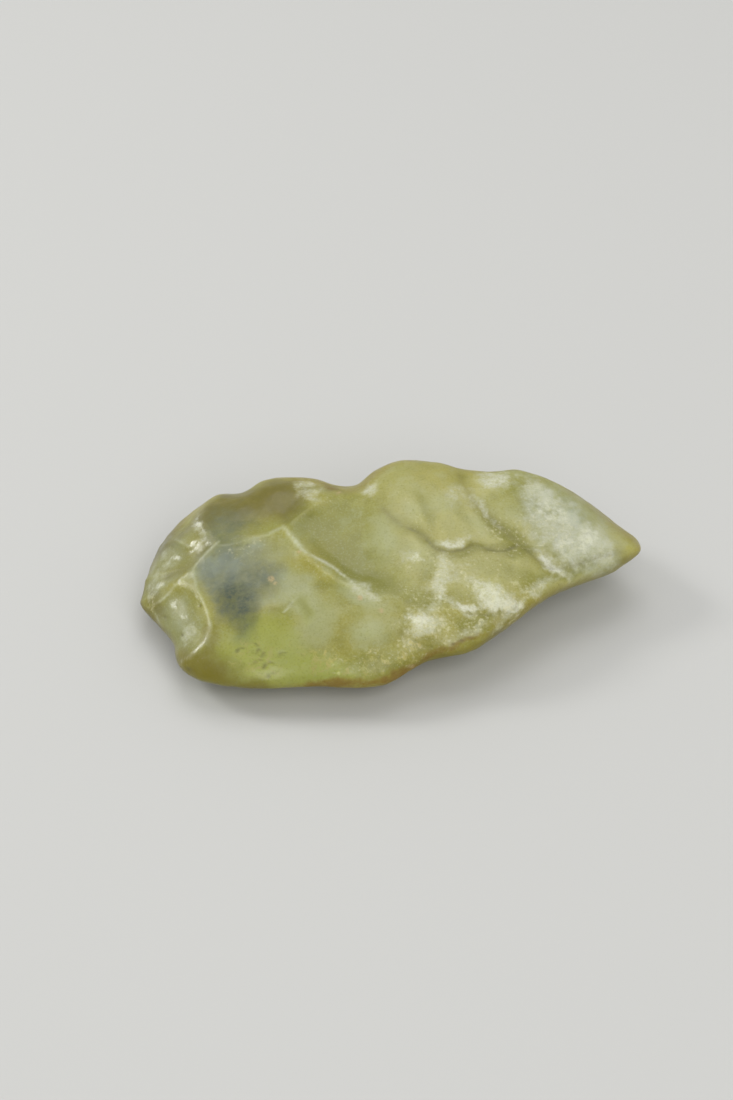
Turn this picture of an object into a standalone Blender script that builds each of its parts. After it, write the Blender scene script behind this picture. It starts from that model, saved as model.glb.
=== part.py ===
"""A worn lump of Libyan desert glass, the natural glass that lies on the sands of the Great Sand Sea.

The stone is one piece, about 60 mm long, 33 mm deep and 14 mm high. It lies on a small flat worn
into its underside. +X runs along it to its pointed end, +Y from its front edge to its back and +Z up.
The origin is under the middle of the stone, on the surface that it lies on.

Sizes below are in millimetres. Places marked "on the slope" are (to the right, up the slope): the
stone looked at from the front, OUTLINE_SLOPE above the horizon, measured from its middle.
"""

import math

import bmesh
import bpy
import numpy as np

MM = 0.001
NAME = "desert_glass"
FACES_ALONG_SIDE = 28
GLASS_COLOUR = (0.46, 0.46, 0.22, 1.0)
GLASS_ROUGHNESS = 0.4

OUTLINE_SLOPE = math.radians(42)
MIDDLE_HEIGHT = 7.5

# The widest shape of the stone, on the slope.
OUTLINE = (
    # blunt left end, from its lowest corner upwards
    (-29.1, -5.6), (-30.8, -3.8), (-30.9, -1.7), (-29.9, 1.2), (-27.2, 4.6), (-24.6, 8.1),
    # back edge, with a low hump, a dip and a high hump
    (-21.5, 10.3), (-18.4, 10.7), (-15.7, 12.2), (-12.0, 12.2), (-9.2, 11.8), (-6.6, 11.0),
    (-3.9, 10.9), (-1.6, 13.0), (1.3, 14.6), (5.9, 14.6), (8.9, 13.6), (12.0, 13.4),
    # shoulder down to the point
    (15.9, 14.0), (19.9, 12.7), (24.1, 9.6), (27.9, 6.1), (30.3, 4.2),
    # round the point and back along the front of the thin end
    (30.5, 2.4), (27.6, 0.3), (24.2, -1.1), (20.9, -2.3), (16.8, -3.8), (13.2, -6.9),
    # front of the thick end, and the notch under the left corner
    (10.0, -9.1), (4.6, -10.2), (-0.7, -12.6), (-5.6, -13.0), (-11.2, -13.6), (-17.6, -13.6),
    (-22.6, -14.1), (-25.4, -12.1), (-26.2, -9.6), (-26.5, -8.1),
)

# Scars where flakes left the upper side, on the slope: the lowest place, the turn of the long axis in
# degrees, half the length, half the width below and above that axis, and the depth.
SCARS = (
    (-5.0, 3.0, -31, 9.3, 3.9, 7.0, 1.15),
    (-14.6, 8.9, 14, 8.5, 4.2, 6.0, 0.95),
    (-26.4, 6.4, 38, 5.2, 2.6, 3.0, 0.45),
    (-28.0, 1.6, 20, 6.0, 2.2, 2.4, 0.60),
    (-28.8, -1.6, 34, 5.0, 1.8, 1.8, 0.45),
    (-26.6, -5.6, -78, 5.4, 5.4, 5.4, 0.85),
)

# Low rounded lumps: the middle, the turn in degrees, half the length, half the width and the height.
LUMPS = (
    (-0.8, 4.4, 90, 5.0, 3.0, 0.5),
    (12.0, -2.0, -15, 3.6, 2.4, 0.55),
    (3.6, -5.9, 20, 3.0, 2.6, 0.35),
    (-2.4, -6.8, 10, 3.0, 2.2, 0.30),
    (6.1, -0.8, 80, 4.0, 2.2, 0.20),
)

# Sharp ridges left standing between scars: the long arete, the edge of the chipped thick end and two
# between its chips. Each has its height, half its width and the line that it follows.
ARETE = (
    (-12.8, 5.8), (-12.0, 4.9), (-10.1, 2.8), (-7.3, 1.3), (-5.8, 0.2), (-4.5, -0.8), (-2.6, -1.3),
    (2.5, -2.3),
)
END_RIDGE = (
    (-20.5, 4.0), (-21.8, 2.8), (-23.3, 1.2), (-23.5, 0.4), (-23.0, -1.3), (-21.9, -3.5), (-21.0, -6.0),
    (-21.5, -7.6), (-22.8, -8.8), (-24.5, -10.1),
)
CHIP_RIDGES = (
    ((-27.6, 4.9), (-26.8, 4.6), (-25.4, 4.0), (-24.3, 3.4)),
    ((-29.0, -3.9), (-28.6, -3.7), (-26.8, -2.6), (-25.6, -1.2), (-24.5, -0.2), (-23.5, 0.4)),
)
RIDGES = (
    (0.25, 3.4, ARETE),
    (0.30, 2.2, END_RIDGE),
    (0.24, 1.8, CHIP_RIDGES[0]),
    (0.30, 2.0, CHIP_RIDGES[1]),
    (0.18, 3.0, ((-12.8, 5.8), (-9.4, 8.5), (-6.0, 9.4))),
    (0.18, 3.0, ((-12.8, 5.8), (-15.4, 4.6), (-17.4, 4.1), (-21.1, 3.6))),
)

# Creases between the swellings of the thin end: the depth, half the width and the line of each.
CREASES = (
    (0.45, 4.5, ((-1.2, 8.5), (2.5, 5.4), (4.6, 4.2), (5.8, 3.1), (8.4, 3.0), (11.5, 3.3), (15.0, 3.5))),
    (0.45, 4.0, ((8.4, 10.9), (9.0, 9.5), (12.2, 6.7), (15.5, 3.6), (19.1, 1.2))),
    (0.20, 2.2, ((19.1, 1.2), (24.0, 1.8), (28.0, 3.2))),
    (0.30, 2.6, ((4.1, 9.4), (5.0, 5.6))),
    (0.30, 3.0, ((5.5, 2.8), (4.7, 1.8), (3.6, -1.2), (2.0, -3.0))),
    (0.20, 2.6, ((9.0, -3.4), (10.8, -4.3), (13.2, -4.6), (14.8, -3.7))),
    (0.25, 2.6, ((0.8, -4.0), (1.2, -6.6), (2.6, -8.0), (4.8, -8.4))),
    (0.15, 2.0, ((-27.6, -0.4), (-26.8, -0.2), (-24.5, 0.9), (-22.8, 2.5), (-21.8, 3.5))),
)

CURVE_STEPS = 8
LINE_ROUNDING = 0.22
GRID_STEP = 0.25
GRID_MARGIN = 6.0

# Rays leave a straight spine and end at the surface, so that long ends get as many points as the sides.
SPINE_HALF = 19.0
SPINE_HEIGHT = 6.0
FLATTENING = 0.6
RAY_START, RAY_END, RAY_HALVINGS = 0.2, 40.0, 26
# Points this near the ground lie on it.
FLAT_WITHIN = 0.001

# The plain dome of the upper side: its height over the origin, how it leans and how it bends.
TOP_MIDDLE = 11.9
TOP_LEAN = (-0.012, 0.245)
TOP_BEND = (0.0040, 0.0046)
# It bends down faster towards the blunt end and the front edge.
END_START, END_BEND = -18.0, 0.022
FRONT_START, FRONT_BEND = -7.0, 0.015

# The underside is a shallow bowl that the ground flattens at its lowest place.
UNDER_PLACE = (-6.0, 1.0)
UNDER_BEND = (0.0042, 0.0085)
UNDER_DROP = 0.9

# The back is a steep face: how far back it is at the height of the spine, and how it leans.
BACK_PLACE = 17.3
BACK_LEAN = 0.12

TOP_ROUNDING = 4.0
UNDER_ROUNDING = 3.0
BACK_ROUNDING = 5.0
HOLLOW_ROUNDING = 0.8

# Wide hollows in the back and the underside, each part of a ball: its middle and its radius.
HOLLOWS = (
    ((-14.0, 31.4, 2.5), 15.5),
    ((5.0, 34.0, 2.0), 18.0),
    ((13.5, -8.0, -12.0), 15.0),
    ((-24.0, -6.0, -11.0), 13.0),
    ((23.0, 4.0, -10.0), 14.0),
)

# Faint swells all over, as a sum of waves in seeded directions.
SEED = 7
WAVE_COUNT = 12
SHORTEST_WAVE, LONGEST_WAVE = 7.0, 15.0
SWELL_HEIGHT = 0.16


def smooth_max(a, b, width):
    """The larger of a and b, with the corner between them rounded over width."""
    near = np.clip(1 - np.abs(a - b) / width, 0, None)
    return np.maximum(a, b) + near * near * width / 4


def curve_through(corners, steps, closed):
    """Points on a smooth curve through the given ones, so many to each."""
    corners = np.array(corners)
    spans = len(corners) if closed else len(corners) - 1
    t = np.linspace(0, spans, spans * steps + 1)
    i = np.minimum(t.astype(int), spans - 1)
    t = (t - i)[:, None]
    if closed:
        p0, p1, p2, p3 = (corners[(i + k) % len(corners)] for k in (-1, 0, 1, 2))
    else:
        p0, p1, p2, p3 = (corners[np.clip(i + k, 0, len(corners) - 1)] for k in (-1, 0, 1, 2))
    return 0.5 * (2 * p1 + (p2 - p0) * t + (2 * p0 - 5 * p1 + 4 * p2 - p3) * t**2
                  + (3 * p1 - p0 - 3 * p2 + p3) * t**3)


def distance_to(curve, points):
    """Distance from each point to the curve, and whether a closed curve has it inside."""
    nearest = np.full(len(points), np.inf)
    inside = np.zeros(len(points), bool)
    for start, stop in zip(curve[:-1], curve[1:]):
        step = stop - start
        share = np.clip((points - start) @ step / (step @ step), 0, 1)
        nearest = np.minimum(nearest, np.hypot(*(points - start - share[:, None] * step).T))
        level = (start[1] > points[:, 1]) != (stop[1] > points[:, 1])
        if step[1]:
            crossing = start[0] + (points[:, 1] - start[1]) / step[1] * step[0]
            inside ^= level & (points[:, 0] < crossing)
    return nearest, inside


def axes_of(points, middle_x, middle_y, turn):
    """Each point's places along and across an axis turned by so many degrees about a middle."""
    turn = math.radians(turn)
    right, up = points[:, 0] - middle_x, points[:, 1] - middle_y
    return (right * math.cos(turn) + up * math.sin(turn),
            up * math.cos(turn) - right * math.sin(turn))


def scar_depth(points):
    """How deep the scars are, with soft lips, and a sharp edge wherever two of them meet."""
    depth = np.zeros(len(points))
    for x, y, turn, half_length, below, above, deepest in SCARS:
        along, across = axes_of(points, x, y, turn)
        half_width = np.where(across < 0, below, above)
        inner = np.clip(1 - (along / half_length)**2 - (across / half_width)**2, 0, 1)
        depth = np.maximum(depth, deepest * inner**2 * (3 - 2 * inner))
    return depth


def lump_height(points):
    height = np.zeros(len(points))
    for x, y, turn, half_length, half_width, tallest in LUMPS:
        along, across = axes_of(points, x, y, turn)
        inner = np.clip(1 - (along / half_length)**2 - (across / half_width)**2, 0, 1)
        height += tallest * inner**2
    return height


def line_height(points, lines):
    """How far the lines stand out, each with hollow sides that meet along it."""
    height = np.zeros(len(points))
    for tallest, half_width, corners in lines:
        gap, _ = distance_to(curve_through(corners, CURVE_STEPS, False), points)
        gap = np.hypot(gap, LINE_ROUNDING) - LINE_ROUNDING
        height = np.maximum(height, tallest * np.clip(1 - gap / half_width, 0, 1)**2)
    return height


def relief(points):
    """How far the upper surface stands above its plain dome, on the slope."""
    return (lump_height(points) + line_height(points, RIDGES)
            - scar_depth(points) - line_height(points, CREASES))


def outline_distance(points):
    nearest, inside = distance_to(OUTLINE_CURVE, points)
    return np.where(inside, -nearest, nearest)


class SlopeMap:
    """A function on the slope, kept on a fine grid so that it is quick to look up."""

    def __init__(self, function):
        self.corner = OUTLINE_CURVE.min(0) - GRID_MARGIN
        count = np.ceil((OUTLINE_CURVE.max(0) + GRID_MARGIN - self.corner) / GRID_STEP).astype(int) + 1
        grid = np.stack(np.meshgrid(*(np.arange(n) for n in count), indexing="ij"), -1)
        self.values = function(grid.reshape(-1, 2) * GRID_STEP + self.corner).reshape(count)

    def at(self, x, y):
        last = np.array(self.values.shape) - 2
        place = (np.stack((x, y), -1) - self.corner) / GRID_STEP
        cell = np.clip(place.astype(int), 0, last)
        (u, v), (i, j) = (place - cell).T, cell.T
        low = self.values[i, j] * (1 - u) + self.values[i + 1, j] * u
        high = self.values[i, j + 1] * (1 - u) + self.values[i + 1, j + 1] * u
        return low * (1 - v) + high * v


OUTLINE_CURVE = curve_through(OUTLINE, CURVE_STEPS, True)
OUTLINE_MAP = SlopeMap(outline_distance)
RELIEF_MAP = SlopeMap(relief)


def swell_waves():
    """The direction and closeness of each wave, and where it starts."""
    seeded = np.random.default_rng(SEED)
    direction = seeded.normal(size=(3, WAVE_COUNT))
    length = seeded.uniform(SHORTEST_WAVE, LONGEST_WAVE, WAVE_COUNT)
    start = seeded.uniform(0, 2 * math.pi, WAVE_COUNT)
    return direction / np.linalg.norm(direction, axis=0) * 2 * math.pi / length, start


WAVES, WAVE_STARTS = swell_waves()


def swell(points):
    return SWELL_HEIGHT * math.sqrt(2 / WAVE_COUNT) * np.sin(points @ WAVES + WAVE_STARTS).sum(axis=1)


def top_height(x, y):
    end = np.clip(END_START - x, 0, None)
    front = np.clip(FRONT_START - y, 0, None)
    return (TOP_MIDDLE + TOP_LEAN[0] * x + TOP_LEAN[1] * y - TOP_BEND[0] * x**2 - TOP_BEND[1] * y**2
            - END_BEND * end**2 - FRONT_BEND * front**2)


def under_height(x, y):
    right, back = x - UNDER_PLACE[0], y - UNDER_PLACE[1]
    return UNDER_BEND[0] * right**2 + UNDER_BEND[1] * back**2 - UNDER_DROP


def field(points):
    """Roughly the distance outside the stone, below zero inside it."""
    x, y, z = points.T
    up = y * math.sin(OUTLINE_SLOPE) + (z - MIDDLE_HEIGHT) * math.cos(OUTLINE_SLOPE)
    edge = OUTLINE_MAP.at(x, up)
    body = smooth_max(z - top_height(x, y) - RELIEF_MAP.at(x, up), edge, TOP_ROUNDING)
    body = smooth_max(body, y - BACK_LEAN * (z - SPINE_HEIGHT) - BACK_PLACE, BACK_ROUNDING)
    body = smooth_max(body, under_height(x, y) - z, UNDER_ROUNDING)
    for middle, radius in HOLLOWS:
        inside = radius - np.linalg.norm(points - middle, axis=1)
        body = smooth_max(body, inside, HOLLOW_ROUNDING)
    return np.maximum(body - swell(points), -z)


def stone_points(directions):
    """Where a ray in each direction from the spine meets the surface."""
    spine = np.zeros_like(directions)
    spine[:, 0] = SPINE_HALF * directions[:, 0]
    spine[:, 2] = SPINE_HEIGHT
    rays = directions * (1, 1, FLATTENING)
    low = np.full(len(rays), RAY_START)
    high = np.full(len(rays), RAY_END)
    for _ in range(RAY_HALVINGS):
        middle = (low + high) / 2
        outside = field(spine + rays * middle[:, None]) > 0
        high = np.where(outside, middle, high)
        low = np.where(outside, low, middle)
    points = spine + rays * low[:, None]
    points[:, 2] = np.where(points[:, 2] < FLAT_WITHIN, 0, points[:, 2])
    return points


def ball_directions(shape):
    """Makes the shape a cube of equal squares, and gives the direction from its middle to each corner."""
    bmesh.ops.create_cube(shape, size=2.0)
    bmesh.ops.subdivide_edges(shape, edges=shape.edges[:], cuts=FACES_ALONG_SIDE - 1, use_grid_fill=True)
    corners = np.tan(np.array([v.co[:] for v in shape.verts]) * math.pi / 4)
    return corners / np.linalg.norm(corners, axis=1)[:, None]


def clear_scene():
    for old in list(bpy.data.objects):
        bpy.data.objects.remove(old, do_unlink=True)


def glass_material():
    material = bpy.data.materials.new(NAME)
    material.use_nodes = True
    shader = material.node_tree.nodes["Principled BSDF"]
    shader.inputs["Base Color"].default_value = GLASS_COLOUR
    shader.inputs["Roughness"].default_value = GLASS_ROUGHNESS
    shader.inputs["Metallic"].default_value = 0.0
    return material


def build():
    clear_scene()
    shape = bmesh.new()
    points = stone_points(ball_directions(shape))
    points[:, :2] -= (points.min(axis=0) + points.max(axis=0))[:2] / 2
    for vertex, place in zip(shape.verts, points * MM):
        vertex.co = place
    mesh = bpy.data.meshes.new(NAME)
    shape.to_mesh(mesh)
    shape.free()
    mesh.shade_smooth()
    mesh.materials.append(glass_material())
    stone = bpy.data.objects.new(NAME, mesh)
    bpy.context.scene.collection.objects.link(stone)
    return stone


build()
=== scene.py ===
import math

import bmesh
import bpy
import numpy as np
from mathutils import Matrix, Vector, noise


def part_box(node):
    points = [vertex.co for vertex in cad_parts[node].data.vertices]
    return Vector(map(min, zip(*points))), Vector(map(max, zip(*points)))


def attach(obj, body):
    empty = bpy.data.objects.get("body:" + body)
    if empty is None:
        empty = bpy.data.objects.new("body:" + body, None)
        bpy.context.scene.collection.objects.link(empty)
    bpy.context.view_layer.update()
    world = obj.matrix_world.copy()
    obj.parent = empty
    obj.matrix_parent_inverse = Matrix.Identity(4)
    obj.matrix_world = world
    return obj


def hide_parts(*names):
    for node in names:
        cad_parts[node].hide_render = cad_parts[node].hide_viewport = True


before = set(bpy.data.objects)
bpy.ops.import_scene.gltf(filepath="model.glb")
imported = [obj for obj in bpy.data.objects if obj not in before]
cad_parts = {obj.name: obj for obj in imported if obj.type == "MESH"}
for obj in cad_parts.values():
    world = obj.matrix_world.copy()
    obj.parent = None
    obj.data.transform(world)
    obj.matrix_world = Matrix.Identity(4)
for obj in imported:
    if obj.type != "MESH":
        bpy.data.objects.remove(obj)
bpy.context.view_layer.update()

# A worn lump of Libyan desert glass. Sizes are in millimetres unless they say otherwise, and MM turns
# them into metres. Places "on the slope" are (to the right, up the slope): the stone looked at from
# the front, OUTLINE_SLOPE above the horizon, measured from its middle.
MM = 0.001
NODE = "desert_glass"
BODY = "root"
PIECE = "desert_glass_stone"
FACES_ALONG_SIDE = 127

OUTLINE_SLOPE = math.radians(42)
MIDDLE_HEIGHT = 7.5

# The widest shape of the stone, on the slope.
OUTLINE = (
    # blunt left end, from its lowest corner upwards
    (-29.1, -5.6), (-30.8, -3.8), (-30.9, -1.7), (-29.9, 1.2), (-27.2, 4.6), (-24.6, 8.1),
    # back edge, with a low hump, a dip and a high hump
    (-21.5, 10.3), (-18.4, 10.7), (-15.7, 12.2), (-12.0, 12.2), (-9.2, 11.8), (-6.6, 11.0),
    (-3.9, 10.9), (-1.6, 13.0), (1.3, 14.6), (5.9, 14.6), (8.9, 13.6), (12.0, 13.4),
    # shoulder down to the point
    (15.9, 14.0), (19.9, 12.7), (24.1, 9.6), (27.9, 6.1), (30.3, 4.2),
    # round the point and back along the front of the thin end
    (30.5, 2.4), (27.6, 0.3), (24.2, -1.1), (20.9, -2.3), (16.8, -3.8), (13.2, -6.9),
    # front of the thick end, and the notch under the left corner
    (10.0, -9.1), (4.6, -10.2), (-0.7, -12.6), (-5.6, -13.0), (-11.2, -13.6), (-17.6, -13.6),
    (-22.6, -14.1), (-25.4, -12.1), (-26.2, -9.6), (-26.5, -8.1),
)

# Scars where flakes left the upper side, on the slope: the lowest place, the turn of the long axis in
# degrees, half the length, half the width below and above that axis, and the depth.
SCARS = (
    (-5.0, 3.0, -31, 9.3, 3.9, 7.0, 1.15),
    (-14.6, 8.9, 14, 8.5, 4.2, 6.0, 0.95),
    (-26.4, 6.4, 38, 5.2, 2.6, 3.0, 0.45),
    (-28.0, 1.6, 20, 6.0, 2.2, 2.4, 0.60),
    (-28.8, -1.6, 34, 5.0, 1.8, 1.8, 0.45),
    (-26.6, -5.6, -78, 5.4, 5.4, 5.4, 0.85),
)

# Low rounded lumps: the middle, the turn in degrees, half the length, half the width and the height.
LUMPS = (
    (-0.8, 4.4, 90, 5.0, 3.0, 0.5),
    (12.0, -2.0, -15, 3.6, 2.4, 0.55),
    (3.6, -5.9, 20, 3.0, 2.6, 0.35),
    (-2.4, -6.8, 10, 3.0, 2.2, 0.30),
    (6.1, -0.8, 80, 4.0, 2.2, 0.20),
)

# Sharp ridges left standing between scars: the long arete, the edge of the chipped thick end and two
# between its chips. Each has its height, half its width and the line that it follows.
ARETE = (
    (-12.8, 5.8), (-12.0, 4.9), (-10.1, 2.8), (-7.3, 1.3), (-5.8, 0.2), (-4.5, -0.8), (-2.6, -1.3),
    (2.5, -2.3),
)
END_RIDGE = (
    (-20.5, 4.0), (-21.8, 2.8), (-23.3, 1.2), (-23.5, 0.4), (-23.0, -1.3), (-21.9, -3.5), (-21.0, -6.0),
    (-21.5, -7.6), (-22.8, -8.8), (-24.5, -10.1),
)
CHIP_RIDGES = (
    ((-27.6, 4.9), (-26.8, 4.6), (-25.4, 4.0), (-24.3, 3.4)),
    ((-29.0, -3.9), (-28.6, -3.7), (-26.8, -2.6), (-25.6, -1.2), (-24.5, -0.2), (-23.5, 0.4)),
)
RIDGES = (
    (0.25, 3.4, ARETE),
    (0.30, 2.2, END_RIDGE),
    (0.24, 1.8, CHIP_RIDGES[0]),
    (0.30, 2.0, CHIP_RIDGES[1]),
    (0.18, 3.0, ((-12.8, 5.8), (-9.4, 8.5), (-6.0, 9.4))),
    (0.18, 3.0, ((-12.8, 5.8), (-15.4, 4.6), (-17.4, 4.1), (-21.1, 3.6))),
)

# Creases between the swellings of the thin end: the depth, half the width and the line of each.
CREASES = (
    (0.45, 4.5, ((-1.2, 8.5), (2.5, 5.4), (4.6, 4.2), (5.8, 3.1), (8.4, 3.0), (11.5, 3.3), (15.0, 3.5))),
    (0.45, 4.0, ((8.4, 10.9), (9.0, 9.5), (12.2, 6.7), (15.5, 3.6), (19.1, 1.2))),
    (0.20, 2.2, ((19.1, 1.2), (24.0, 1.8), (28.0, 3.2))),
    (0.30, 2.6, ((4.1, 9.4), (5.0, 5.6))),
    (0.30, 3.0, ((5.5, 2.8), (4.7, 1.8), (3.6, -1.2), (2.0, -3.0))),
    (0.20, 2.6, ((9.0, -3.4), (10.8, -4.3), (13.2, -4.6), (14.8, -3.7))),
    (0.25, 2.6, ((0.8, -4.0), (1.2, -6.6), (2.6, -8.0), (4.8, -8.4))),
    (0.15, 2.0, ((-27.6, -0.4), (-26.8, -0.2), (-24.5, 0.9), (-22.8, 2.5), (-21.8, 3.5))),
)

CURVE_STEPS = 8
LINE_ROUNDING = 0.22
GRID_STEP = 0.12
GRID_MARGIN = 6.0

# Rays leave a straight spine and end at the surface, so that long ends get as many points as the sides.
SPINE_HALF = 19.0
SPINE_HEIGHT = 6.0
FLATTENING = 0.6
RAY_START, RAY_END, RAY_HALVINGS = 0.2, 40.0, 24
FLAT_WITHIN = 0.001

# The plain dome of the upper side: its height over the origin, how it leans and how it bends.
TOP_MIDDLE = 11.9
TOP_LEAN = (-0.012, 0.245)
TOP_BEND = (0.0040, 0.0046)
# It bends down faster towards the blunt end and the front edge.
END_START, END_BEND = -18.0, 0.022
FRONT_START, FRONT_BEND = -7.0, 0.015

# The underside is a shallow bowl that the ground flattens at its lowest place.
UNDER_PLACE = (-6.0, 1.0)
UNDER_BEND = (0.0042, 0.0085)
UNDER_DROP = 0.9

# The back is a steep face: how far back it is at the height of the spine, and how it leans.
BACK_PLACE = 17.3
BACK_LEAN = 0.12

TOP_ROUNDING = 4.0
UNDER_ROUNDING = 3.0
BACK_ROUNDING = 5.0
HOLLOW_ROUNDING = 0.8

# Wide hollows in the back and the underside, each part of a ball: its middle and its radius.
HOLLOWS = (
    ((-14.0, 31.4, 2.5), 15.5),
    ((5.0, 34.0, 2.0), 18.0),
    ((13.5, -8.0, -12.0), 15.0),
    ((-24.0, -6.0, -11.0), 13.0),
    ((23.0, 4.0, -10.0), 14.0),
)

# Faint swells all over, as a sum of waves in seeded directions.
SEED = 7
WAVE_COUNT = 12
SHORTEST_WAVE, LONGEST_WAVE = 7.0, 15.0
SWELL_HEIGHT = 0.16


# ---------------------------------------------------------------- colour patches and fine relief

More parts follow.
